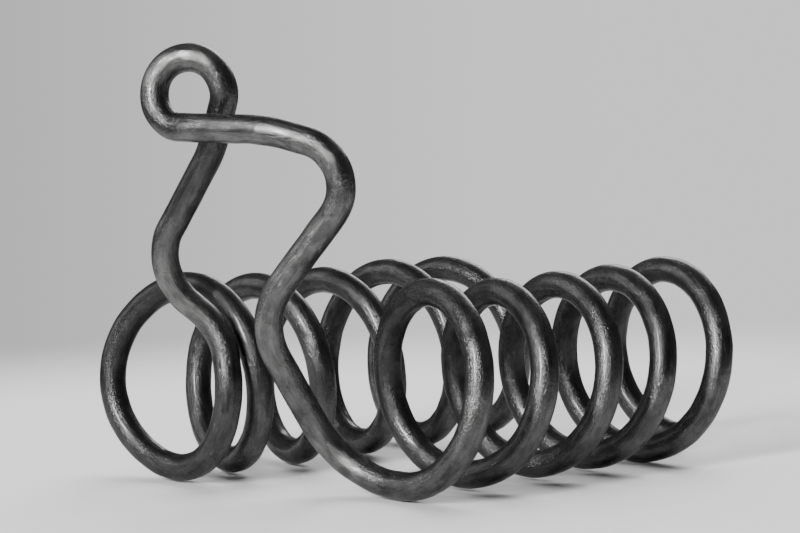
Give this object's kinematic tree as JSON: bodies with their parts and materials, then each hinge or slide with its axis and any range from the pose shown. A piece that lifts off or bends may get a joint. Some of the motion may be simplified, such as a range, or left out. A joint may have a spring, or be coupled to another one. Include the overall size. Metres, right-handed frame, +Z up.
{
  "type": "twin coil spring",
  "caption": "Twin-coil spring bent from one dark steel wire: two open coils of opposite hand side by side, joined by an upright neck with an eye loop.",
  "frame": {"origin": "under the middle of the bounding box, at the height the coils rest on", "axes": "X across the two coils, left coil at -X; +Y along the coils away from the neck; +Z up"},
  "size_m": [0.1052, 0.1238, 0.0963],
  "materials": {
    "spring_wire": "satin"
  },
  "bodies": {
    "neck": {"left_foot_bend": "spring_wire", "left_knee_bend": "spring_wire", "left_stem": "spring_wire", "eye_loop": "spring_wire", "top_bar": "spring_wire", "shoulder_bend": "spring_wire", "right_stem": "spring_wire", "waist_bend": "spring_wire", "right_shank": "spring_wire", "right_foot_bend": "spring_wire"},
    "left_turn_1": {"left_coil_turn_1": "spring_wire"},
    "left_turn_2": {"left_coil_turn_2": "spring_wire"},
    "left_turn_3": {"left_coil_turn_3": "spring_wire"},
    "left_turn_4": {"left_coil_turn_4": "spring_wire"},
    "left_turn_5": {"left_coil_turn_5": "spring_wire", "left_wire_end": "spring_wire"},
    "right_turn_1": {"right_coil_turn_1": "spring_wire"},
    "right_turn_2": {"right_coil_turn_2": "spring_wire"},
    "right_turn_3": {"right_coil_turn_3": "spring_wire"},
    "right_turn_4": {"right_coil_turn_4": "spring_wire"},
    "right_turn_5": {"right_coil_turn_5": "spring_wire"}
  },
  "joints": [
    {"name": "left_nod", "type": "hinge", "parent": "neck", "child": "left_turn_1", "pos_m": [-0.0106, -0.0416, 0.0268], "axis": [1, 0, 0], "range_deg": [-4, 2], "stiffness_Nm_per_rad": 4},
    {"name": "left_stretch_1", "type": "slide", "parent": "left_turn_1", "child": "left_turn_2", "axis": [0, 1, 0], "range_m": [-0.0008, 0.007], "stiffness_N_per_m": 1500},
    {"name": "left_stretch_2", "type": "slide", "parent": "left_turn_2", "child": "left_turn_3", "axis": [0, 1, 0], "range_m": [-0.007, 0.007], "stiffness_N_per_m": 1500},
    {"name": "left_stretch_3", "type": "slide", "parent": "left_turn_3", "child": "left_turn_4", "axis": [0, 1, 0], "range_m": [-0.007, 0.007], "stiffness_N_per_m": 1500},
    {"name": "left_stretch_4", "type": "slide", "parent": "left_turn_4", "child": "left_turn_5", "axis": [0, 1, 0], "range_m": [-0.007, 0.007], "stiffness_N_per_m": 1500},
    {"name": "right_nod", "type": "hinge", "parent": "neck", "child": "right_turn_1", "pos_m": [0.0298, -0.0264, 0.0032], "axis": [1, 0, 0], "range_deg": [-4, 4], "stiffness_Nm_per_rad": 4},
    {"name": "right_stretch_1", "type": "slide", "parent": "right_turn_1", "child": "right_turn_2", "axis": [0, 1, 0], "range_m": [-0.007, 0.007], "stiffness_N_per_m": 1500},
    {"name": "right_stretch_2", "type": "slide", "parent": "right_turn_2", "child": "right_turn_3", "axis": [0, 1, 0], "range_m": [-0.007, 0.007], "stiffness_N_per_m": 1500},
    {"name": "right_stretch_3", "type": "slide", "parent": "right_turn_3", "child": "right_turn_4", "axis": [0, 1, 0], "range_m": [-0.007, 0.007], "stiffness_N_per_m": 1500},
    {"name": "right_stretch_4", "type": "slide", "parent": "right_turn_4", "child": "right_turn_5", "axis": [0, 1, 0], "range_m": [-0.007, 0.007], "stiffness_N_per_m": 1500}
  ],
  "couplings": [
    {"joint": "left_stretch_3", "follows": "left_stretch_2", "ratio": 1},
    {"joint": "left_stretch_4", "follows": "left_stretch_2", "ratio": 1},
    {"joint": "right_stretch_2", "follows": "right_stretch_1", "ratio": 1},
    {"joint": "right_stretch_3", "follows": "right_stretch_1", "ratio": 1},
    {"joint": "right_stretch_4", "follows": "right_stretch_1", "ratio": 1}
  ]
}
